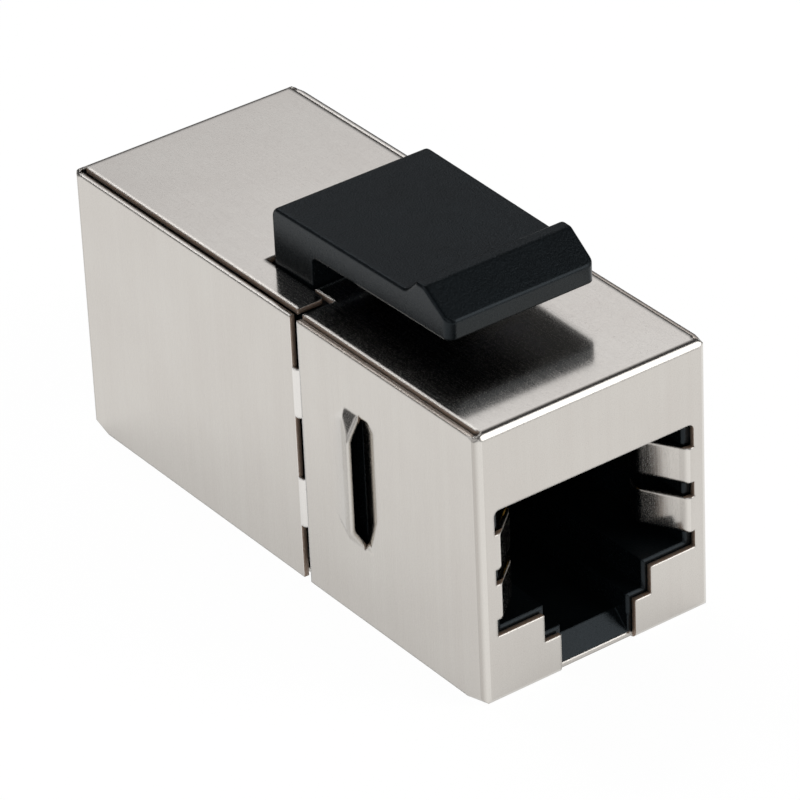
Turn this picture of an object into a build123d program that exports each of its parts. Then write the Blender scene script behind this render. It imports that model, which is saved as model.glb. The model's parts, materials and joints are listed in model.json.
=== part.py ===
from build123d import *

from math import atan2, degrees
import os

# Shielded inline coupler with a keystone latch: two eight-way jacks back to back.
# Millimetres, +Z up, origin under the middle of the shield, front port towards -Y.

# Sheet and running fits
sheet = 0.3
play = 0.05
slip = 0.1

# Plug cavity, the same at both ends, with its two-step keyway down
cavity_width = 11.9
cavity_height = 6.95
cavity_depth = 13.05
wide_key_width = 6.4
wide_key_drop = 1.65
narrow_key_width = 4.3
narrow_key_drop = 1.25
mouth_chamfer = 0.12
key_chamfer = 1.0

# Walls of the two housings
side_wall = 1.05
floor_wall = 1.1
roof_wall = 1.05
bay_wall = 0.85
contact_bay_height = 3.6
contact_bay_width = 9.2
contact_bay_setback = 3.0
middle_length = 9.0

# Port window and its grounding fingers
window_reveal = 0.28
window_corner = 0.35
finger_slot = 0.48
finger_height = 2.1
finger_gap = 0.9
finger_lift = 0.72
finger_fold = 0.2
finger_fold_radius = 0.25
left_finger_lean = 1.85
left_finger_reach = 1.7
right_finger_lean = 1.45
right_finger_reach = 2.65
finger_tip_flare = 0.4
finger_tip_length = 0.8
finger_tip_radius = 0.5

# Folds and seams of the shields
fold_radius = 0.45
corner_radius = 0.9
corner_depth = 1.8
wall_drop = 0.2
relief_radius = 0.16
front_butt_gap = 0.1
rear_butt_gap = 0.22
front_shield_length = 15.2
seam_gap = 0.6
overlap = 2.0
joggle_play = 0.05
joggle_start = 0.2
joggle_margin = 0.1
joggle_radius = 0.2
tab_width = 3.0
tab_spacing = 6.75
floor_tab_width = 10.0

# Contact louvre in each side wall of the front shield
louvre_setback = 10.12
louvre_level = 8.7
louvre_height = 8.15
louvre_proud = 0.83
louvre_ramp = 2.7
louvre_end_run = 1.37
louvre_corner = 1.5
louvre_slit = 0.1
dent_depth = 0.25
dent_ramp = 1.25
dent_end_run = 0.6
dent_corner = 0.5

# Keystone latch
latch_width = 10.0
lip_width = 9.4
latch_rise = 3.45
root_setback = 1.85
root_length = 3.4
arm_reach = 11.45
arm_thickness = 1.55
ridge_height = 0.85
ridge_rise_run = 0.85
crest_length = 0.65
slope_run = 1.95
lip_height = 1.05
rear_round = 0.6
valley_round = 0.8
crest_round = 0.35
root_round = 0.5
lip_corner = 0.5
latch_edge = 0.22
notch_play = 0.1
notch_rear_gap = 0.55
notch_corner = 0.35
tongue_gap = 0.15
split_setback = 0.35

# Contacts and their carriers
ways = 8
pitch = 1.02
wire = 0.36
wire_bend = 0.5
run_lift = 1.55
row_step = 1.2
row_bend_setback = 0.9
hairpin_setback = 4.3
hairpin_drop = 1.35
tip_drop = 2.1
tip_entry = 0.6
tail_length = 0.4
groove_play = 0.07
groove_depth = 0.5
shelf_gap = 0.45
shelf_thickness = 1.3
comb_depth = 1.1

# Circuit board
board_thickness = 1.2
board_gap = 0.2
hole_play = 0.12
hole_sides = 12

# Heights and lengths that follow
skin = sheet + play
body_width = cavity_width + 2 * (side_wall + skin)
key_floor = skin + floor_wall
step_floor = key_floor + narrow_key_drop
cavity_floor = step_floor + wide_key_drop
cavity_top = cavity_floor + cavity_height
bay_top = cavity_top + contact_bay_height
housing_top = bay_top + roof_wall
body_height = housing_top + skin
cavity_end = skin + cavity_depth
body_length = 2 * cavity_end + middle_length
joggle_step = sheet + joggle_play
tab_depth = joggle_step + sheet
seam_front = -body_length / 2 + front_shield_length
seam_rear = seam_front + seam_gap
rear_shield_length = body_length / 2 - seam_rear
root_front = seam_front + root_setback
latch_rear = root_front + root_length
split_front = latch_rear + split_setback
split_rear = split_front + slip
notch_half = latch_width / 2 + notch_play
waist_half = body_width / 2 - tab_depth - play
waist_floor = tab_depth + play
bay_half = waist_half - bay_wall
bay_floor = waist_floor + bay_wall
louvre_y = louvre_setback - body_length / 2
run_level = cavity_top + run_lift
tip_level = cavity_top - tip_drop
shelf_top = run_level - wire / 2 - groove_play + groove_depth

FRONT = -1
REAR = 1


def face_plane(side, depth=0.0):
    """Upright plane at a depth behind a port face: x to the right, y up, z outwards."""
    origin = (0, side * (body_length / 2 - depth), 0)
    return Plane(origin=origin, x_dir=(-side, 0, 0), z_dir=(0, side, 0))


def level_plane(side, height):
    """Level plane at a height: x to the right of a port, y inwards from its face."""
    origin = (0, side * body_length / 2, height)
    return Plane(origin=origin, x_dir=(-side, 0, 0), z_dir=(0, 0, 1))


def profile_plane(side, across=0.0):
    """Upright lengthwise plane: x inwards from a port face, y up, z to the right."""
    origin = (-side * across, side * body_length / 2, 0)
    return Plane(origin=origin, x_dir=(0, -side, 0), z_dir=(-side, 0, 0))


def plug_outline(grow, foot):
    """Plug opening with its keyway, grown all round, down to a foot level."""
    half = cavity_width / 2 + grow
    wide = wide_key_width / 2 + grow
    narrow = narrow_key_width / 2 + grow
    with BuildLine() as outline:
        Polyline(
            (0, cavity_top + grow),
            (half, cavity_top + grow),
            (half, cavity_floor - grow),
            (wide, cavity_floor - grow),
            (wide, step_floor - grow),
            (narrow, step_floor - grow),
            (narrow, foot),
            (0, foot),
        )
        mirror(about=Plane.YZ)
    make_face(outline.edges())


def folded_cup(cup, side, length, butt_gap):
    """Sheet folded back from a port face on four sides, slit where flaps meet, side walls below the top."""
    outwards = Axis((0, 0, 0), (0, side, 0))
    with BuildSketch(face_plane(side)) as box:
        with Locations((0, body_height / 2)):
            Rectangle(body_width, body_height)
    extrude(box.sketch, amount=-length)
    fillet(cup.faces().sort_by(outwards)[-1].edges(), fold_radius)
    offset(amount=-sheet, openings=cup.faces().sort_by(outwards)[0])
    add(face_plane(side).location * face_corners.part, mode=Mode.SUBTRACT)
    slit_spacing = body_width - 2 * sheet - butt_gap
    for base in (0, body_height - fold_radius):
        with BuildSketch(level_plane(side, base)) as slits:
            with Locations((0, (fold_radius + length) / 2)):
                with GridLocations(slit_spacing, 0, 2, 1):
                    Rectangle(butt_gap, length - fold_radius)
            with Locations((0, fold_radius)):
                with GridLocations(slit_spacing, 0, 2, 1):
                    Circle(relief_radius)
        extrude(slits.sketch, amount=fold_radius, mode=Mode.SUBTRACT)
    trim = sheet + butt_gap
    with BuildSketch(level_plane(side, body_height - wall_drop)) as wall_tops:
        with Locations((0, (fold_radius + length) / 2)):
            with GridLocations(body_width - trim, 0, 2, 1):
                Rectangle(trim, length - fold_radius)
    extrude(wall_tops.sketch, amount=wall_drop, mode=Mode.SUBTRACT)


def port_window(side):
    """Opening in a port face, cut down through the lower fold at the keyway."""
    with BuildSketch(face_plane(side)) as window:
        plug_outline(window_reveal, 0)
        with Locations((0, (cavity_floor + cavity_top) / 2)):
            Rectangle(cavity_width + 2 * finger_slot, cavity_height + 2 * window_reveal)
        fillet(window.vertices().group_by(Axis.Y)[-1], window_corner)
    extrude(window.sketch, amount=-fold_radius, mode=Mode.SUBTRACT)


def grounding_fingers(side):
    """Two springs on each side of a port, bent from the face into the plug cavity."""
    root = cavity_width / 2 + finger_slot + sheet
    fold = cavity_width / 2 + finger_fold
    lowest = cavity_floor + finger_lift
    for base in (lowest, lowest + finger_height + finger_gap):
        for hand, lean, reach in (
            (-1, left_finger_lean, left_finger_reach),
            (1, right_finger_lean, right_finger_reach),
        ):
            tip = fold - lean
            with BuildSketch(level_plane(side, base)) as finger:
                with BuildLine():
                    FilletPolyline(
                        (hand * root, sheet / 2),
                        (hand * fold, sheet / 2),
                        (hand * tip, reach),
                        (hand * (tip + finger_tip_flare), reach + finger_tip_length),
                        radius=[finger_fold_radius, finger_tip_radius],
                    )
                trace(line_width=sheet)
            extrude(finger.sketch, amount=finger_height)


def joggled_tabs(wall_plane, width, tab_offsets):
    """Tabs that step in across the seam and slip under the next shield."""
    middle = sheet / 2 + joggle_step
    for tab_offset in tab_offsets:
        with BuildSketch(wall_plane.offset(tab_offset)) as tab:
            with BuildLine():
                FilletPolyline(
                    (-sheet, sheet / 2),
                    (joggle_start, sheet / 2),
                    (seam_gap - joggle_margin, middle),
                    (seam_gap + overlap, middle),
                    radius=joggle_radius,
                )
            trace(line_width=sheet)
        extrude(tab.sketch, amount=width / 2, both=True)


def pressed_form(rise, ramp, end_run, corner):
    """Form of a lanced panel: a curved ramp up to the cut edge, sloped off round its other edges."""
    half = louvre_height / 2
    with BuildPart() as form:
        with BuildSketch(Plane.XZ):
            with BuildLine():
                TangentArc((ramp, 0), (0, rise), tangent=(-1, 0))
                Polyline((0, rise), (0, 0), (ramp, 0))
            make_face()
        extrude(amount=half, both=True)
        with BuildSketch(Plane.XY):
            with BuildLine():
                Polyline(
                    (-2 * end_run, -half),
                    (ramp - corner, -half),
                    (ramp, corner - half),
                    (ramp, half - corner),
                    (ramp - corner, half),
                    (-2 * end_run, half),
                    close=True,
                )
            make_face()
        extrude(amount=rise, taper=degrees(atan2(end_run, rise)), mode=Mode.INTERSECT)
    return form.part


# Face corners: what the rounded corners of a port face lack, fading out along the walls
with BuildPart() as face_corners:
    with BuildSketch():
        with Locations((0, body_height / 2)):
            Rectangle(body_width + 2 * corner_radius, body_height + 2 * corner_radius)
    extrude(amount=-corner_depth)
    for depth, radius in ((0, corner_radius), (corner_depth, play)):
        with BuildSketch(Plane.XY.offset(-depth)):
            with Locations((0, body_height / 2)):
                RectangleRounded(body_width + 2 * play, body_height + 2 * play, radius)
    loft(mode=Mode.SUBTRACT)

# Front shield: folded cup, port window with fingers, louvres and tongue
with BuildPart() as front_shield:
    folded_cup(front_shield, FRONT, front_shield_length, front_butt_gap)
    port_window(FRONT)
    grounding_fingers(FRONT)
    lip_form = pressed_form(louvre_proud, louvre_ramp, louvre_end_run, louvre_corner)
    dent_form = pressed_form(dent_depth, dent_ramp, dent_end_run, dent_corner)
    for side in (-1, 1):
        place = (side * body_width / 2, louvre_y, louvre_level)
        lip_plane = Plane(origin=place, x_dir=(0, 1, 0), z_dir=(side, 0, 0))
        dent_plane = Plane(origin=place, x_dir=(0, -1, 0), z_dir=(-side, 0, 0))
        add(lip_plane.location * lip_form)
        add(lip_plane.offset(-sheet).location * lip_form, mode=Mode.SUBTRACT)
        add(dent_plane.offset(sheet).location * dent_form)
        add(dent_plane.location * dent_form, mode=Mode.SUBTRACT)
        with BuildSketch(lip_plane.offset(louvre_proud)):
            with Locations((-louvre_slit / 2, 0)):
                Rectangle(louvre_slit, louvre_height)
        extrude(amount=-louvre_proud - dent_depth - sheet, mode=Mode.SUBTRACT)
    tongue_length = root_front - 2 * slip - seam_front
    with BuildSketch(Plane.XY.offset(body_height - sheet)):
        with Locations((0, seam_front + tongue_length / 2 - sheet / 2)):
            Rectangle(2 * (notch_half - tongue_gap), tongue_length + sheet)
    extrude(amount=sheet)

# Rear shield: folded cup with its own port window, joggled tabs and a notch for the latch root
with BuildPart() as rear_shield:
    folded_cup(rear_shield, REAR, rear_shield_length, rear_butt_gap)
    port_window(REAR)
    grounding_fingers(REAR)
    for side in (-1, 1):
        side_wall_plane = Plane(
            origin=(side * body_width / 2, seam_rear, body_height / 2), x_dir=(0, -1, 0), z_dir=(0, 0, -side)
        )
        joggled_tabs(side_wall_plane, tab_width, (-tab_spacing / 2, tab_spacing / 2))
    floor_plane = Plane(origin=(0, seam_rear, 0), x_dir=(0, -1, 0), z_dir=(-1, 0, 0))
    joggled_tabs(floor_plane, floor_tab_width, (0,))
    notch_end = latch_rear + notch_rear_gap
    with BuildSketch(Plane.XY.offset(body_height - sheet)):
        with Locations((0, (seam_rear + notch_end) / 2)):
            Rectangle(2 * notch_half, notch_end - seam_rear)
    extrude(amount=sheet, mode=Mode.SUBTRACT)
    upright_edges = rear_shield.edges().filter_by(Axis.Z)
    seam_edges = upright_edges.filter_by_position(Axis.Y, seam_rear - play, seam_rear + play)
    fillet(seam_edges.filter_by(lambda edge: abs(abs(edge.center().X) - notch_half) < play), notch_corner)


def plug_cavity(side):
    """Plug cavity with a lead-in at its mouth, finger grooves and the contact bay over it."""
    with BuildSketch(face_plane(side, skin)) as cavity:
        plug_outline(0, key_floor)
    extrude(cavity.sketch, amount=-cavity_depth, mode=Mode.SUBTRACT)
    with BuildSketch(face_plane(side, skin)) as mouth:
        plug_outline(mouth_chamfer, key_floor)
    extrude(mouth.sketch, amount=-mouth_chamfer, taper=45, mode=Mode.SUBTRACT)
    with BuildSketch(profile_plane(side)) as key_ramp:
        with BuildLine():
            Polyline(
                (skin, key_floor),
                (skin + key_chamfer, key_floor),
                (skin, key_floor - key_chamfer),
                close=True,
            )
        make_face()
    extrude(key_ramp.sketch, amount=narrow_key_width / 2, both=True, mode=Mode.SUBTRACT)
    groove_length = max(left_finger_reach, right_finger_reach) + finger_tip_length
    groove_half = cavity_width / 2 + finger_slot
    lowest = cavity_floor + finger_lift
    for base in (lowest, lowest + finger_height + finger_gap):
        with BuildSketch(level_plane(side, base - slip)) as grooves:
            with Locations((0, skin + groove_length / 2)):
                Rectangle(2 * groove_half, groove_length)
        extrude(grooves.sketch, amount=finger_height + 2 * slip, mode=Mode.SUBTRACT)
    with BuildSketch(level_plane(side, cavity_top)) as bay:
        with Locations((0, (contact_bay_setback + cavity_end) / 2)):
            Rectangle(contact_bay_width, cavity_end - contact_bay_setback)
    extrude(bay.sketch, amount=contact_bay_height, mode=Mode.SUBTRACT)


def inner_spaces():
    """Both plug cavities, and the bay between them for the contact carriers and the board."""
    plug_cavity(FRONT)
    plug_cavity(REAR)
    with BuildSketch(Plane.XY.offset(bay_floor)) as bay:
        Rectangle(2 * bay_half, body_length - 2 * cavity_end)
    extrude(bay.sketch, amount=bay_top - bay_floor, mode=Mode.SUBTRACT)


def housing_block(block, side, depth):
    """Block that fills a shield from its face to a depth, eased at the face for the folds."""
    with BuildSketch(face_plane(side, skin)) as filling:
        with Locations((0, body_height / 2)):
            Rectangle(body_width - 2 * skin, body_height - 2 * skin)
    extrude(filling.sketch, amount=skin - depth)
    outwards = Axis((0, 0, 0), (0, side, 0))
    fillet(block.faces().sort_by(outwards)[-1].edges(), fold_radius - skin)


# Latch form: root, arm, concave rise to the ridge, sloped front and lip
with BuildPart() as latch_form:
    latch_top = body_height + latch_rise
    arm_under = latch_top - arm_thickness
    lip_front = root_front - arm_reach
    crest_front = lip_front + slope_run
    crest_rear = crest_front + crest_length
    root_foot = housing_top - roof_wall / 2
    with BuildSketch(Plane.YZ):
        with BuildLine():
            FilletPolyline(
                (latch_rear, root_foot),
                (latch_rear, latch_top),
                (crest_rear + ridge_rise_run, latch_top),
                (crest_rear, latch_top + ridge_height),
                (crest_front, latch_top + ridge_height),
                (lip_front, arm_under + lip_height),
                (lip_front, arm_under),
                (root_front, arm_under),
                (root_front, root_foot),
                radius=[rear_round, valley_round, crest_round, crest_round, 0, 0, root_round],
            )
            Line((root_front, root_foot), (latch_rear, root_foot))
        make_face()
    extrude(amount=latch_width / 2, both=True)
    with BuildSketch(Plane.XY.offset(root_foot)):
        with BuildLine():
            Polyline(
                (lip_width / 2, lip_front),
                (latch_width / 2, latch_rear),
                (-latch_width / 2, latch_rear),
                (-lip_width / 2, lip_front),
                close=True,
            )
        make_face()
    extrude(amount=latch_top + ridge_height - root_foot, mode=Mode.INTERSECT)
    lip_face = latch_form.faces().filter_by(Axis.Y).sort_by(Axis.Y)[0]
    fillet(lip_face.edges().filter_by(Axis.Z), lip_corner)
    lip_face = latch_form.faces().filter_by(Axis.Y).sort_by(Axis.Y)[0]
    side_faces = latch_form.faces().sort_by(Axis.X)
    rim = side_faces[0].edges() + side_faces[-1].edges() + lip_face.edges()
    rim = rim.filter_by(Axis.Z, reverse=True)
    fillet(rim.filter_by(lambda edge: edge.center().Z > arm_under + latch_edge), latch_edge)

# Front housing with the latch, a waist under the tabs and pockets behind the louvres
with BuildPart() as latch_housing:
    waist_start = front_shield_length - overlap - slip
    housing_block(latch_housing, FRONT, waist_start)
    with BuildSketch(face_plane(FRONT, waist_start)):
        with Locations((0, (waist_floor + housing_top) / 2)):
            Rectangle(2 * waist_half, housing_top - waist_floor)
    extrude(amount=waist_start - body_length / 2 - split_front)
    inner_spaces()
    louvre_pocket = dent_depth + sheet + slip
    with BuildSketch(Plane.XY.offset(louvre_level - louvre_height / 2 - slip)):
        with Locations((0, louvre_y - dent_ramp / 2)):
            with GridLocations(body_width, 0, 2, 1):
                Rectangle(2 * louvre_pocket, dent_ramp + 2 * slip)
    extrude(amount=louvre_height + 2 * slip, mode=Mode.SUBTRACT)
    add(latch_form.part)

# Rear housing
with BuildPart() as rear_housing:
    housing_block(rear_housing, REAR, body_length / 2 - split_rear)
    inner_spaces()

# Circuit board with two rows of plated holes
board_half = bay_half - slip
with BuildPart() as circuit_board:
    with BuildSketch(Plane.XZ.offset(board_thickness / 2)):
        with Locations((0, (bay_floor + bay_top) / 2)):
            Rectangle(2 * board_half, bay_top - bay_floor - 2 * slip)
        with Locations((0, run_level + row_step / 2)):
            with GridLocations(pitch, row_step, ways, 2):
                RegularPolygon(wire / 2 + hole_play, hole_sides, mode=Mode.SUBTRACT)
    extrude(amount=-board_thickness)


def contact_carrier(side):
    """Comb behind a plug cavity, with a shelf that carries the contacts over it."""
    back = body_length / 2 - board_thickness / 2 - board_gap
    front = cavity_end + slip
    shelf_front = hairpin_setback + wire / 2 + shelf_gap
    with BuildSketch(profile_plane(side)) as block:
        with BuildLine():
            Polyline(
                (back, bay_floor + slip),
                (back, shelf_top),
                (shelf_front, shelf_top),
                (shelf_front, shelf_top - shelf_thickness),
                (front, shelf_top - shelf_thickness),
                (front, bay_floor + slip),
                close=True,
            )
        make_face()
    extrude(block.sketch, amount=board_half, both=True)
    shelf_half = contact_bay_width / 2 - slip
    shelf_side = board_half - shelf_half
    with BuildSketch(level_plane(side, shelf_top - shelf_thickness)) as shelf_sides:
        with Locations((0, (shelf_front + front) / 2)):
            with GridLocations(2 * shelf_half + shelf_side, 0, 2, 1):
                Rectangle(shelf_side, front - shelf_front)
    extrude(shelf_sides.sketch, amount=shelf_thickness, mode=Mode.SUBTRACT)
    groove_width = wire + 2 * groove_play
    with BuildSketch(level_plane(side, shelf_top - groove_depth)) as grooves:
        with Locations((0, (shelf_front + back) / 2)):
            with GridLocations(pitch, 0, ways, 1):
                Rectangle(groove_width, back - shelf_front)
    extrude(grooves.sketch, amount=groove_depth, mode=Mode.SUBTRACT)
    comb_foot = tip_level - wire - groove_play
    with BuildSketch(level_plane(side, comb_foot)) as comb:
        with Locations((0, front + comb_depth / 2)):
            with GridLocations(pitch, 0, ways, 1):
                Rectangle(groove_width, comb_depth)
    extrude(comb.sketch, amount=shelf_top - shelf_thickness - comb_foot, mode=Mode.SUBTRACT)


def spring_contact(side, way):
    """Spring wire from the board over the shelf, round a hairpin and back to the comb."""
    across = (way - (ways - 1) / 2) * pitch
    tail_end = body_length / 2 + board_thickness / 2 + tail_length
    bend_end = body_length / 2 - board_thickness / 2 - row_bend_setback
    tail = [(tail_end, run_level)]
    bends = [wire_bend, wire_bend]
    if way % 2 == 0:
        tail = [
            (tail_end, run_level + row_step),
            (bend_end, run_level + row_step),
            (bend_end - row_step, run_level),
        ]
        bends = [0, 0, *bends]
    with BuildSketch(profile_plane(side, across)) as spring:
        with BuildLine():
            FilletPolyline(
                *tail,
                (hairpin_setback, run_level),
                (hairpin_setback, run_level - hairpin_drop),
                (cavity_end + tip_entry, tip_level),
                radius=bends,
            )
        trace(line_width=wire)
    extrude(spring.sketch, amount=wire / 2, both=True)


pieces = {
    "front_shield": front_shield.part,
    "rear_shield": rear_shield.part,
    "latch_housing": latch_housing.part,
    "rear_housing": rear_housing.part,
    "circuit_board": circuit_board.part,
}
for end_name, end_side in (("front", FRONT), ("rear", REAR)):
    with BuildPart() as carrier:
        contact_carrier(end_side)
    pieces[f"{end_name}_contact_carrier"] = carrier.part
    for way in range(ways):
        with BuildPart() as contact:
            spring_contact(end_side, way)
        pieces[f"{end_name}_contact_{way + 1}"] = contact.part

os.makedirs("parts", exist_ok=True)
for piece_name, piece in pieces.items():
    piece.label = piece_name
    export_step(piece, f"parts/{piece_name}.step")
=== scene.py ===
import json
import math

import bpy
from mathutils import Matrix, Vector


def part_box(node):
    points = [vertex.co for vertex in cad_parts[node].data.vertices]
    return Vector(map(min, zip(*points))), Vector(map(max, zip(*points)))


# Looks of a shielded inline coupler: nickel-plated shields, black mouldings, gold contacts.
# The frame is in metres with +Z up, and the front port faces -Y.
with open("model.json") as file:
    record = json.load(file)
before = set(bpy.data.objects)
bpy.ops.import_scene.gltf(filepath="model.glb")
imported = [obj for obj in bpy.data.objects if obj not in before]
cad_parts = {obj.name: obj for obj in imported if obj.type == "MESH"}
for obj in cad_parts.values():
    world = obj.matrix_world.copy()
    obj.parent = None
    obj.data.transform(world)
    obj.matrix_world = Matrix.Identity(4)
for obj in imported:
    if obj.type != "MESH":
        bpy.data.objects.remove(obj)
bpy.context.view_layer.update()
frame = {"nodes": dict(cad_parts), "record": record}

MM = 0.001
LENGTHWISE = 1
UPWARDS = 2

# Camera, fitted to the corners of the shield: angles in degrees, lens and sensor in millimetres
VIEW_AZIMUTH = -35.324
VIEW_ELEVATION = 31.824
VIEW_ROLL = -2.636
VIEW_DISTANCE = 289.44 * MM
VIEW_AIM = Vector((0.274, -0.804, 7.348)) * MM
VIEW_LENS = 245.55
VIEW_SENSOR = 36.0
VIEW_NEAREST = 1 * MM

# Strip light at the front right: its size, its middle and the way its long side runs
STRIP_WIDTH = 0.1
STRIP_LENGTH = 0.34
STRIP_PLACE = Vector((0.162, -0.239, 0.160))
STRIP_RISE = Vector((0.0, 0.608, 0.794))
STRIP_RADIANCE = 2.0

# White table: its glow and its shadow for the eye, and both as the metal mirrors them
TABLE_SIZE = 3.0
TABLE_GLOW = 1.09
TABLE_SHADOW = 0.12
MIRRORED_GLOW = 1.08
MIRRORED_SHADOW = 0.24
# How far the mirrored shadow reaches, and how open the table is where it is deep and where it ends
SHADOW_REACH = 40 * MM
SHADOW_DEEP = 0.45
SHADOW_ENDS = 0.8
# Where the mirrored paper starts to dim and where it ends, and the glow that is left there
PAPER_NEAR = 0.07
PAPER_FAR = 0.2
PAPER_END_GLOW = 0.15

# Dim room with panels. Each has its way from the object, the degrees off that way where its glow
# ends and where it is full, and its glow. The top plates mirror the first two, the rolled top edges
# the third, the fourth fills the front left, and the last two light the sides away from the camera.
ROOM_GLOW = 0.08
PANELS = (
    (Vector((0.49, 0.65, 0.58)), 22, 3, 0.5),
    (Vector((0.49, 0.57, 0.66)), 17, 11.3, 0.48),
    (Vector((0.00, 0.69, 0.72)), 18, 10, 2.4),
    (Vector((-0.60, -0.70, 0.40)), 34, 12, 0.7),
    (Vector((-0.85, 0.30, 0.42)), 28, 12, 0.7),
    (Vector((0.75, -0.60, 0.25)), 26, 10, 0.6),
)

# Sizes of the object that the finishes follow: the sheet and the spread of its cut faces, the
# shield's reach, the folds round its ends, the middle seam and the port windows
SHEET = 0.3 * MM
CUT_SPREAD = 0.03 * SHEET
_, wall_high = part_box("rear_shield")
HALF_WIDTH = wall_high.x
HALF_LENGTH = wall_high.y
TOP = wall_high.z
FOLD = 0.45 * MM
SEAM_FRONT = -2.75 * MM
SEAM_REAR = -2.05 * MM
WINDOW_HALF = 6.6 * MM
WINDOW_TOP = 11.75 * MM

# Sockets of a mix node: the share, and the two ends and the result for each kind of value
SHARE = 0
NUMBER_A, NUMBER_B, NUMBER_MIXED = 2, 3, 0
VECTOR_A, VECTOR_B, VECTOR_MIXED = 4, 5, 1
COLOUR_A, COLOUR_B, COLOUR_MIXED = 6, 7, 2


def linear(hex_code):
    """Linear colour of an sRGB hex value, with full alpha."""
    parts = [int(hex_code[i : i + 2], 16) / 255 for i in (1, 3, 5)]
    bent = [((p + 0.055) / 1.055) ** 2.4 if p > 0.04045 else p / 12.92 for p in parts]
    return (*bent, 1.0)


def add_node(tree, kind, inputs=(), **settings):
    """New node with its settings, and its inputs set to values or linked to sockets."""
    made = tree.nodes.new(kind)
    for name, value in settings.items():
        setattr(made, name, value)
    for name, value in dict(inputs).items():
        if isinstance(value, bpy.types.NodeSocket):
            tree.links.new(value, made.inputs[name])
        else:
            made.inputs[name].default_value = value
    return made


def new_material(name):
    """Empty node material with its tree, output and object coordinates."""
    material = bpy.data.materials.new(name)
    material.use_nodes = True
    tree = material.node_tree
    tree.nodes.clear()
    output = add_node(tree, "ShaderNodeOutputMaterial")
    place = add_node(tree, "ShaderNodeTexCoord").outputs["Object"]
    return material, tree, output, place


def cells(across, along, along_axis):
    """Pattern cells per metre on each axis: fine across the grain and long along one axis."""
    counts = [1 / across] * 3
    counts[along_axis] = 1 / along
    return counts


def where(tree, *tests):
    """Mask that is 1 where every test holds; a test is a value, a comparison and its limit."""
    held = 1.0
    for value, comparison, limit in tests:
        test = add_node(tree, "ShaderNodeMath", {0: value, 1: limit}, operation=comparison)
        held = add_node(
            tree, "ShaderNodeMath", {0: test.outputs[0], 1: held}, operation="MULTIPLY"
        ).outputs[0]
    return held


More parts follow.
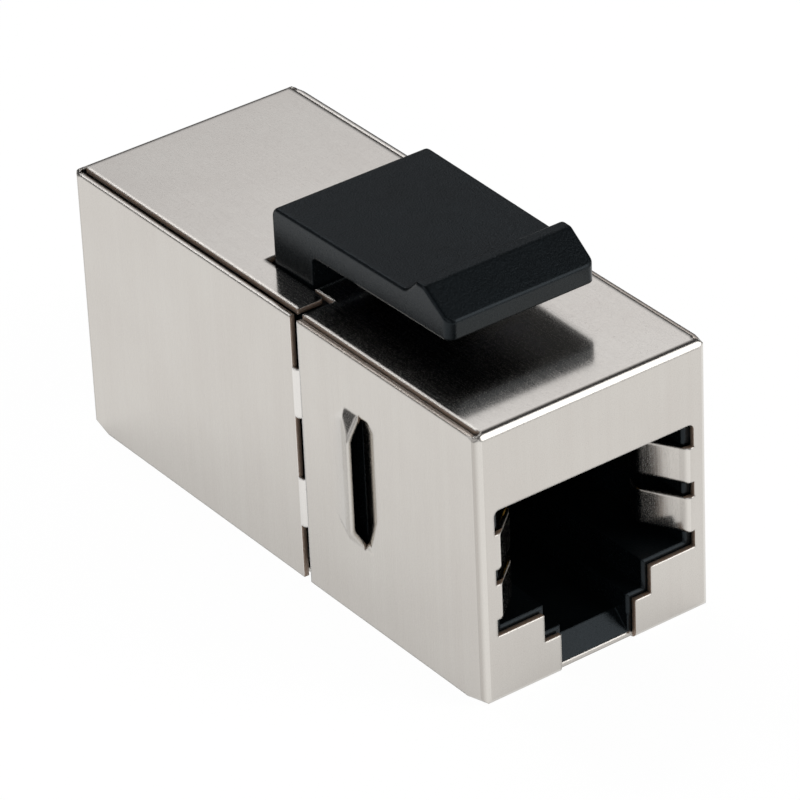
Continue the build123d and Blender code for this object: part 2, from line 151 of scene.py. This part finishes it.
def nickel_plated_sheet():
    """Cold-rolled sheet, nickel plated and folded: soft mirror, rolling grain, warm cut edges."""
    material, tree, output, place = new_material("nickel_plated_sheet")
    bare_edge = linear("#A67C54")
    plate_light = linear("#D0CCC6")
    plate_warm = linear("#CBC6C0")
    # Painted shade and painted highlight on the folds, darker and lighter than the plate
    fold_painted_shade = linear("#BCB7B1")
    fold_painted_highlight = linear("#D9D5CF")
    # Painted highlight on the tabs in the middle seam
    tab_painted_highlight = linear("#E4E1DD")
    # Real rolling lines are about 0.01 mm wide, too fine to show, and are drawn wide enough to show
    grain_width = 0.09 * MM
    grain_length = 2.4 * MM
    grain_depth = 0.001 * MM
    streak_width = 0.5 * MM
    streak_length = 30.0 * MM
    streak_share = 0.6
    cloud_size = 5.0 * MM
    buckle_size = 9.0 * MM
    buckle_depth = 0.02 * MM
    relief_strength = 0.5
    shear_line = 0.07 * MM
    # Pits in the plating stay finer than a pixel, so that they blend with the mirror to a soft sheen
    haze_size = 0.03 * MM
    # Rounding that the light sees on the wall edges, the pressed louvre and the top edges
    edge_roll = 0.24 * MM
    press_roll = 0.35 * MM
    plate_roll = 0.33 * MM
    # Roughness on bright and dull lines of the grain, and what the pits and the cuts add to it
    bright_rough = 0.11
    dull_rough = 0.15
    haze_rough = 0.15
    cut_rough = 0.35
    # How bare of plating a cut is, from least to most, and how far the wall tops count as cut
    least_bare = 0.25
    most_bare = 0.85
    top_wear = 0.4
    # How far a face looks along an axis: away from it, mostly along it, square to it
    away = 0.5
    mostly = 0.6
    square = 0.9
    end_face = 0.97

    # The rolling grain runs up the walls and the faces, and lengthwise on the top and floor
    normal = add_node(tree, "ShaderNodeNewGeometry").outputs["Normal"]
    facing = add_node(tree, "ShaderNodeVectorMath", {0: normal}, operation="ABSOLUTE")
    face = add_node(tree, "ShaderNodeSeparateXYZ", {0: facing.outputs["Vector"]}).outputs
    spot = add_node(tree, "ShaderNodeVectorMath", {0: place}, operation="ABSOLUTE")
    at = add_node(tree, "ShaderNodeSeparateXYZ", {0: spot.outputs["Vector"]}).outputs
    length_at = add_node(tree, "ShaderNodeSeparateXYZ", {0: place}).outputs["Y"]
    level = where(tree, (face["Z"], "GREATER_THAN", mostly))
    upright = add_node(
        tree,
        "ShaderNodeVectorMath",
        {0: place, 1: cells(grain_width, grain_length, UPWARDS)},
        operation="MULTIPLY",
    ).outputs["Vector"]
    lengthwise = add_node(
        tree,
        "ShaderNodeVectorMath",
        {0: place, 1: cells(grain_width, grain_length, LENGTHWISE)},
        operation="MULTIPLY",
    ).outputs["Vector"]
    grain_place = add_node(
        tree,
        "ShaderNodeMix",
        {SHARE: level, VECTOR_A: upright, VECTOR_B: lengthwise},
        data_type="VECTOR",
    ).outputs[VECTOR_MIXED]
    grain = add_node(
        tree, "ShaderNodeTexNoise", {"Vector": grain_place, "Scale": 1.0, "Detail": 3.0}
    ).outputs["Fac"]

    # Clouds and upright streaks left by the plating bath, and a slight buckle from folding
    cloud = add_node(
        tree, "ShaderNodeTexNoise", {"Vector": place, "Scale": 1 / cloud_size, "Detail": 4.0}
    ).outputs["Fac"]
    buckle = add_node(
        tree, "ShaderNodeTexNoise", {"Vector": place, "Scale": 1 / buckle_size, "Detail": 1.0}
    ).outputs["Fac"]
    streak_place = add_node(
        tree,
        "ShaderNodeVectorMath",
        {0: place, 1: cells(streak_width, streak_length, UPWARDS)},
        operation="MULTIPLY",
    ).outputs["Vector"]
    streak = add_node(
        tree, "ShaderNodeTexNoise", {"Vector": streak_place, "Scale": 1.0, "Detail": 2.0}
    ).outputs["Fac"]
    tint = add_node(
        tree,
        "ShaderNodeMath",
        {0: streak, 1: streak_share, 2: cloud},
        operation="MULTIPLY_ADD",
    ).outputs[0]
    tint = add_node(
        tree, "ShaderNodeMapRange", {"Value": tint, "From Min": 0.5, "From Max": 1.1}
    ).outputs[0]
    plate = add_node(
        tree,
        "ShaderNodeMix",
        {SHARE: tint, COLOUR_A: plate_warm, COLOUR_B: plate_light},
        data_type="RGBA",
    ).outputs[COLOUR_MIXED]

    # Sheared edges: faces across the sheet at the top seams, the middle seam and the port windows
    clear_of_fold = (at["Y"], "LESS_THAN", HALF_LENGTH - FOLD)
    in_wall = (at["X"], "GREATER_THAN", HALF_WIDTH - SHEET - CUT_SPREAD)
    side_cut = where(
        tree,
        in_wall,
        (at["X"], "LESS_THAN", HALF_WIDTH + CUT_SPREAD),
        clear_of_fold,
        (face["X"], "LESS_THAN", away),
        (face["Z"], "LESS_THAN", away),
    )
    top_cut = where(
        tree,
        (at["Z"], "GREATER_THAN", TOP - SHEET - CUT_SPREAD),
        (at["X"], "LESS_THAN", HALF_WIDTH - SHEET),
        clear_of_fold,
        (face["Z"], "LESS_THAN", away),
    )
    face_cut = where(
        tree,
        (at["Y"], "GREATER_THAN", HALF_LENGTH - SHEET - CUT_SPREAD),
        (at["X"], "LESS_THAN", WINDOW_HALF),
        (at["Z"], "LESS_THAN", WINDOW_TOP),
        (face["Y"], "LESS_THAN", away),
    )
    front_wall_top = where(
        tree,
        in_wall,
        (at["Z"], "GREATER_THAN", TOP - 1.5 * SHEET),
        (length_at, "LESS_THAN", SEAM_REAR),
        clear_of_fold,
        (face["Z"], "GREATER_THAN", square),
    )
    cuts = add_node(
        tree, "ShaderNodeMath", {0: front_wall_top, 1: top_wear}, operation="MULTIPLY"
    ).outputs[0]
    for cut in (side_cut, top_cut, face_cut):
        cuts = add_node(tree, "ShaderNodeMath", {0: cuts, 1: cut}, operation="MAXIMUM").outputs[0]
    shear = add_node(
        tree, "ShaderNodeTexNoise", {"Vector": place, "Scale": 1 / shear_line, "Detail": 2.0}
    ).outputs["Fac"]
    bare = add_node(
        tree,
        "ShaderNodeMapRange",
        {
            "Value": shear,
            "From Min": 0.35,
            "From Max": 0.65,
            "To Min": least_bare,
            "To Max": most_bare,
        },
    ).outputs[0]
    bare = add_node(tree, "ShaderNodeMath", {0: cuts, 1: bare}, operation="MULTIPLY").outputs[0]

    # Painted shade and painted highlight on the folds: darker where a fold turns to the top or the
    # sides, lighter where it turns to face the end
    on_fold = where(
        tree,
        (at["Y"], "GREATER_THAN", HALF_LENGTH - FOLD),
        (face["Y"], "LESS_THAN", end_face),
    )
    turn = add_node(
        tree, "ShaderNodeMapRange", {"Value": face["Y"], "From Min": 0.4, "From Max": 0.8}
    ).outputs[0]
    fold = add_node(
        tree,
        "ShaderNodeMix",
        {SHARE: turn, COLOUR_A: fold_painted_shade, COLOUR_B: fold_painted_highlight},
        data_type="RGBA",
    ).outputs[COLOUR_MIXED]
    # Painted highlight: the outward faces of the tabs in the middle seam are given a lighter colour
    on_tab = where(
        tree,
        (length_at, "GREATER_THAN", SEAM_FRONT),
        (length_at, "LESS_THAN", SEAM_REAR),
        (face["X"], "GREATER_THAN", mostly),
    )
    colour = plate
    for mask, painted_light_or_bare_metal in ((on_fold, fold), (on_tab, tab_painted_highlight), (bare, bare_edge)):
        colour = add_node(
            tree,
            "ShaderNodeMix",
            {SHARE: mask, COLOUR_A: colour, COLOUR_B: painted_light_or_bare_metal},
            data_type="RGBA",
        ).outputs[COLOUR_MIXED]
    metal = add_node(tree, "ShaderNodeMath", {0: 1.0, 1: bare}, operation="SUBTRACT").outputs[0]

    haze = add_node(
        tree, "ShaderNodeTexNoise", {"Vector": place, "Scale": 1 / haze_size, "Detail": 0.0}
    ).outputs["Fac"]
    haze = add_node(
        tree,
        "ShaderNodeMapRange",
        {"Value": haze, "From Min": 0.6, "From Max": 0.68, "To Max": haze_rough},
    ).outputs[0]
    satin = add_node(
        tree,
        "ShaderNodeMapRange",
        {
            "Value": grain,
            "From Min": 0.3,
            "From Max": 0.7,
            "To Min": bright_rough,
            "To Max": dull_rough,
        },
    ).outputs[0]
    satin = add_node(tree, "ShaderNodeMath", {0: satin, 1: haze}, operation="ADD").outputs[0]
    rough = add_node(
        tree, "ShaderNodeMath", {0: cuts, 1: cut_rough, 2: satin}, operation="MULTIPLY_ADD"
    ).outputs[0]

    # Edges rolled over by the press, then the buckle and the grain on top of that
    pressed = where(tree, (at["X"], "GREATER_THAN", HALF_WIDTH + 0.05 * SHEET))
    on_top = where(
        tree,
        (at["Z"], "GREATER_THAN", TOP - 0.1 * SHEET),
        (face["Z"], "GREATER_THAN", square),
    )
    roll = edge_roll
    for mask, rounding in ((pressed, press_roll), (on_top, plate_roll)):
        roll = add_node(
            tree,
            "ShaderNodeMix",
            {SHARE: mask, NUMBER_A: roll, NUMBER_B: rounding},
            data_type="FLOAT",
        ).outputs[NUMBER_MIXED]
    relief = add_node(tree, "ShaderNodeBevel", {"Radius": roll}, samples=8).outputs["Normal"]
    for pattern, depth in ((buckle, buckle_depth), (grain, grain_depth)):
        relief = add_node(
            tree,
            "ShaderNodeBump",
            {"Height": pattern, "Distance": depth, "Strength": relief_strength, "Normal": relief},
        ).outputs["Normal"]
    shader = add_node(
        tree,
        "ShaderNodeBsdfPrincipled",
        {"Base Color": colour, "Metallic": metal, "Roughness": rough, "Normal": relief},
    )
    tree.links.new(shader.outputs[0], output.inputs["Surface"])
    return material


def moulded_black_plastic():
    """Black ABS from a spark-eroded mould: fine matt grit on top and slope, smoother sides."""
    material, tree, output, place = new_material("moulded_black_plastic")
    black = linear("#06090B")
    worn = linear("#11171A")
    cool_gloss = linear("#E4F4FF")
    # Real spark grit is about 0.04 mm, too fine to show, and is drawn coarse enough to show
    grit_size = 0.13 * MM
    grit_depth = 0.05 * MM
    flow_size = 3.0 * MM
    edge_roll = 0.14 * MM
    # How far up a face looks where it counts as sloped, and as flat
    slope_starts, slope_full = 0.74, 0.8
    flat_starts, flat_full = 0.88, 0.96
    # Share of the grit on the sides that draw out of the mould, on a slope, and added on a flat
    side_grit = 0.15
    slope_grit = 0.5
    flat_grit = 0.5
    side_rough = 0.2
    flat_rough = 0.4
    grit_rough = 0.12

    normal = add_node(tree, "ShaderNodeNewGeometry").outputs["Normal"]
    up = add_node(tree, "ShaderNodeSeparateXYZ", {0: normal}).outputs["Z"]
    height = add_node(tree, "ShaderNodeSeparateXYZ", {0: place}).outputs["Z"]
    grit = add_node(
        tree,
        "ShaderNodeTexNoise",
        {"Vector": place, "Scale": 1 / grit_size, "Detail": 3.0, "Roughness": 0.65},
    ).outputs["Fac"]
    flow = add_node(
        tree, "ShaderNodeTexNoise", {"Vector": place, "Scale": 1 / flow_size, "Detail": 2.0}
    ).outputs["Fac"]

    # The grit is full on the flats of the latch above the shield, and slight inside the ports
    sloped = add_node(
        tree,
        "ShaderNodeMapRange",
        {
            "Value": up,
            "From Min": slope_starts,
            "From Max": slope_full,
            "To Min": side_grit,
            "To Max": slope_grit,
        },
    ).outputs[0]
    flat = add_node(
        tree,
        "ShaderNodeMapRange",
        {"Value": up, "From Min": flat_starts, "From Max": flat_full, "To Max": flat_grit},
    ).outputs[0]
    outside = where(tree, (height, "GREATER_THAN", TOP))
    gritted = add_node(
        tree, "ShaderNodeMath", {0: flat, 1: outside, 2: sloped}, operation="MULTIPLY_ADD"
    ).outputs[0]
    tone = add_node(tree, "ShaderNodeMath", {0: flow, 1: grit}, operation="MULTIPLY").outputs[0]
    tone = add_node(
        tree, "ShaderNodeMapRange", {"Value": tone, "From Min": 0.12, "From Max": 0.4}
    ).outputs[0]
    colour = add_node(
        tree,
        "ShaderNodeMix",
        {SHARE: tone, COLOUR_A: black, COLOUR_B: worn},
        data_type="RGBA",
    ).outputs[COLOUR_MIXED]
    matt = add_node(
        tree,
        "ShaderNodeMapRange",
        {
            "Value": gritted,
            "From Min": side_grit,
            "From Max": slope_grit + flat_grit,
            "To Min": side_rough,
            "To Max": flat_rough,
        },
    ).outputs[0]
    rough = add_node(
        tree, "ShaderNodeMath", {0: grit, 1: grit_rough, 2: matt}, operation="MULTIPLY_ADD"
    ).outputs[0]
    rolled = add_node(tree, "ShaderNodeBevel", {"Radius": edge_roll}, samples=6).outputs["Normal"]
    relief = add_node(
        tree,
        "ShaderNodeBump",
        {"Height": grit, "Distance": grit_depth, "Strength": gritted, "Normal": rolled},
    ).outputs["Normal"]
    shader = add_node(
        tree,
        "ShaderNodeBsdfPrincipled",
        {
            "Base Color": colour,
            "Roughness": rough,
            "IOR": 1.5,
            "Specular IOR Level": 0.3,
            "Specular Tint": cool_gloss,
            "Normal": relief,
        },
    )
    tree.links.new(shader.outputs[0], output.inputs["Surface"])
    return material


def carrier_plastic():
    """Black glass-filled PBT: dull, with pale fibre flecks."""
    material, tree, output, place = new_material("glass_filled_carrier_plastic")
    black = linear("#101112")
    fibre = linear("#26282A")
    # Real fibres are about 0.01 mm thick, too fine to show, and are drawn coarse enough to show
    fleck_size = 0.08 * MM
    fleck_depth = 0.006 * MM
    most_fibre = 0.5
    fleck = add_node(
        tree, "ShaderNodeTexNoise", {"Vector": place, "Scale": 1 / fleck_size, "Detail": 2.0}
    ).outputs["Fac"]
    share = add_node(
        tree,
        "ShaderNodeMapRange",
        {"Value": fleck, "From Min": 0.6, "From Max": 0.75, "To Max": most_fibre},
    ).outputs[0]
    colour = add_node(
        tree,
        "ShaderNodeMix",
        {SHARE: share, COLOUR_A: black, COLOUR_B: fibre},
        data_type="RGBA",
    ).outputs[COLOUR_MIXED]
    relief = add_node(
        tree, "ShaderNodeBump", {"Height": fleck, "Distance": fleck_depth, "Strength": 0.6}
    ).outputs["Normal"]
    shader = add_node(
        tree,
        "ShaderNodeBsdfPrincipled",
        {"Base Color": colour, "Roughness": 0.5, "IOR": 1.55, "Normal": relief},
    )
    tree.links.new(shader.outputs[0], output.inputs["Surface"])
    return material


def board_laminate():
    """Glass-epoxy board under green solder mask: glossy, with the weave just showing."""
    material, tree, output, place = new_material("solder_masked_laminate")
    mask_high = linear("#1F6238")
    mask_low = linear("#1B5832")
    weave_pitch = 0.45 * MM
    weave_depth = 0.004 * MM
    weave = add_node(
        tree,
        "ShaderNodeTexChecker",
        {"Vector": place, "Color1": mask_high, "Color2": mask_low, "Scale": 1 / weave_pitch},
    ).outputs
    relief = add_node(
        tree,
        "ShaderNodeBump",
        {"Height": weave["Fac"], "Distance": weave_depth, "Strength": 0.4},
    ).outputs["Normal"]
    shader = add_node(
        tree,
        "ShaderNodeBsdfPrincipled",
        {"Base Color": weave["Color"], "Roughness": 0.25, "IOR": 1.54, "Normal": relief},
    )
    tree.links.new(shader.outputs[0], output.inputs["Surface"])
    return material


def gold_plated_bronze():
    """Drawn phosphor-bronze wire under gold: warm, bright, with fine lines along the wire."""
    material, tree, output, place = new_material("gold_plated_bronze")
    deep_gold = linear("#C9983F")
    bright_gold = linear("#E2B75E")
    # Real drawing lines are about 0.005 mm wide, too fine to show, and are drawn wide enough to show
    line_width = 0.04 * MM
    line_length = 1.5 * MM
    bright_rough = 0.18
    dull_rough = 0.3
    drawn_place = add_node(
        tree,
        "ShaderNodeVectorMath",
        {0: place, 1: cells(line_width, line_length, LENGTHWISE)},
        operation="MULTIPLY",
    ).outputs["Vector"]
    drawn = add_node(
        tree, "ShaderNodeTexNoise", {"Vector": drawn_place, "Scale": 1.0, "Detail": 2.0}
    ).outputs["Fac"]
    colour = add_node(
        tree,
        "ShaderNodeMix",
        {SHARE: drawn, COLOUR_A: deep_gold, COLOUR_B: bright_gold},
        data_type="RGBA",
    ).outputs[COLOUR_MIXED]
    rough = add_node(
        tree,
        "ShaderNodeMapRange",
        {
            "Value": drawn,
            "From Min": 0.3,
            "From Max": 0.7,
            "To Min": bright_rough,
            "To Max": dull_rough,
        },
    ).outputs[0]
    shader = add_node(
        tree,
        "ShaderNodeBsdfPrincipled",
        {"Base Color": colour, "Metallic": 1.0, "Roughness": rough},
    )
    tree.links.new(shader.outputs[0], output.inputs["Surface"])
    return material


def dress_nodes():
    """Each carried-over solid takes the finish of its record slot."""
    finishes = {
        "nickel_plated_sheet": nickel_plated_sheet(),
        "moulded_black_plastic": moulded_black_plastic(),
        "carrier_plastic": carrier_plastic(),
        "board_laminate": board_laminate(),
        "gold_plated_bronze": gold_plated_bronze(),
    }
    for part in frame["record"]["subparts"]:
        solid = frame["nodes"][part["node"]]
        for slot in solid.material_slots:
            slot.material = finishes[part["material_slot"]]


def white_table():
    """Wide white table top with the object's soft shadow, also as the metal mirrors it."""
    mesh = bpy.data.meshes.new("table")
    half = TABLE_SIZE / 2
    corners = [(-half, -half, 0), (half, -half, 0), (half, half, 0), (-half, half, 0)]
    mesh.from_pydata(corners, [], [(0, 1, 2, 3)])
    table = bpy.data.objects.new("table", mesh)
    bpy.context.scene.collection.objects.link(table)
    material, tree, output, place = new_material("white_table_paper")
    paper = add_node(tree, "ShaderNodeBsdfDiffuse", {"Color": linear("#F4F4F3")})
    rays = add_node(tree, "ShaderNodeLightPath").outputs

    # The mirrored paper darkens where the object hides the strip light, and ends a short way off
    open_share = add_node(
        tree,
        "ShaderNodeAmbientOcclusion",
        {"Distance": SHADOW_REACH, "Normal": STRIP_PLACE.normalized()},
        samples=12,
    ).outputs["AO"]
    mirrored = add_node(
        tree,
        "ShaderNodeMapRange",
        {
            "Value": open_share,
            "From Min": SHADOW_DEEP,
            "From Max": SHADOW_ENDS,
            "To Min": (1 - MIRRORED_SHADOW) * MIRRORED_GLOW,
            "To Max": MIRRORED_GLOW,
        },
    ).outputs[0]
    distance = add_node(tree, "ShaderNodeVectorMath", {0: place}, operation="LENGTH")
    paper_left = add_node(
        tree,
        "ShaderNodeMapRange",
        {
            "Value": distance.outputs["Value"],
            "From Min": PAPER_NEAR,
            "From Max": PAPER_FAR,
            "To Min": 1.0,
            "To Max": PAPER_END_GLOW,
        },
    ).outputs[0]
    mirrored = add_node(
        tree, "ShaderNodeMath", {0: mirrored, 1: paper_left}, operation="MULTIPLY"
    ).outputs[0]
    strength = add_node(
        tree,
        "ShaderNodeMix",
        {SHARE: rays["Is Glossy Ray"], NUMBER_A: TABLE_GLOW, NUMBER_B: mirrored},
        data_type="FLOAT",
    ).outputs[NUMBER_MIXED]
    glow = add_node(
        tree, "ShaderNodeEmission", {"Color": linear("#FFFFFF"), "Strength": strength}
    )

    # The eye and the metal see the glow, less the share that shows the real shadow
    seen = add_node(
        tree,
        "ShaderNodeMath",
        {0: rays["Is Camera Ray"], 1: rays["Is Glossy Ray"]},
        operation="MAXIMUM",
    ).outputs[0]
    share = add_node(
        tree, "ShaderNodeMath", {0: seen, 1: 1 - TABLE_SHADOW}, operation="MULTIPLY"
    ).outputs[0]
    mixed = add_node(
        tree, "ShaderNodeMixShader", {0: share, 1: paper.outputs[0], 2: glow.outputs[0]}
    )
    tree.links.new(mixed.outputs[0], output.inputs["Surface"])
    mesh.materials.append(material)


def studio_light():
    """A strip light at the front right, and a dim room with glowing panels round the object."""
    lamp = bpy.data.lights.new("strip_light", "AREA")
    lamp.shape = "RECTANGLE"
    lamp.size = STRIP_WIDTH
    lamp.size_y = STRIP_LENGTH
    lamp.energy = STRIP_RADIANCE * math.pi * STRIP_WIDTH * STRIP_LENGTH
    strip = bpy.data.objects.new("strip_light", lamp)
    outwards = STRIP_PLACE.normalized()
    across = STRIP_RISE.cross(outwards).normalized()
    axes = Matrix((across, outwards.cross(across), outwards)).transposed().to_4x4()
    strip.matrix_world = Matrix.Translation(STRIP_PLACE) @ axes
    bpy.context.scene.collection.objects.link(strip)

    world = bpy.data.worlds.new("studio")
    world.use_nodes = True
    tree = world.node_tree
    tree.nodes.clear()
    way = add_node(tree, "ShaderNodeTexCoord").outputs["Generated"]
    glow = ROOM_GLOW
    for panel_way, fade_end, full, panel_glow in PANELS:
        turned = add_node(
            tree,
            "ShaderNodeVectorMath",
            {0: way, 1: panel_way.normalized()},
            operation="DOT_PRODUCT",
        ).outputs["Value"]
        panel = add_node(
            tree,
            "ShaderNodeMapRange",
            {
                "Value": turned,
                "From Min": math.cos(math.radians(fade_end)),
                "From Max": math.cos(math.radians(full)),
                "To Max": panel_glow,
            },
            interpolation_type="SMOOTHSTEP",
        ).outputs[0]
        glow = add_node(tree, "ShaderNodeMath", {0: panel, 1: glow}, operation="ADD").outputs[0]
    sky = add_node(tree, "ShaderNodeBackground", {"Color": linear("#FDFDFF"), "Strength": glow})
    output = add_node(tree, "ShaderNodeOutputWorld")
    tree.links.new(sky.outputs[0], output.inputs["Surface"])
    bpy.context.scene.world = world


def photo_camera():
    """Long-lens camera that looks down on the front left corner."""
    turn = math.radians(VIEW_AZIMUTH)
    rise = math.radians(VIEW_ELEVATION)
    flat = math.cos(rise)
    back = Vector((math.sin(turn) * flat, -math.cos(turn) * flat, math.sin(rise)))
    level_right = Vector((0, 0, 1)).cross(back).normalized()
    right = Matrix.Rotation(math.radians(VIEW_ROLL), 3, back) @ level_right
    axes = Matrix((right, back.cross(right), back)).transposed().to_4x4()
    lens = bpy.data.cameras.new("photo_camera")
    lens.sensor_width = VIEW_SENSOR
    lens.lens = VIEW_LENS
    lens.clip_start = VIEW_NEAREST
    camera = bpy.data.objects.new("photo_camera", lens)
    camera.matrix_world = Matrix.Translation(VIEW_AIM + back * VIEW_DISTANCE) @ axes
    bpy.context.scene.collection.objects.link(camera)
    bpy.context.scene.camera = camera


dress_nodes()
white_table()
studio_light()
photo_camera()
bpy.context.scene.view_settings.view_transform = "Standard"
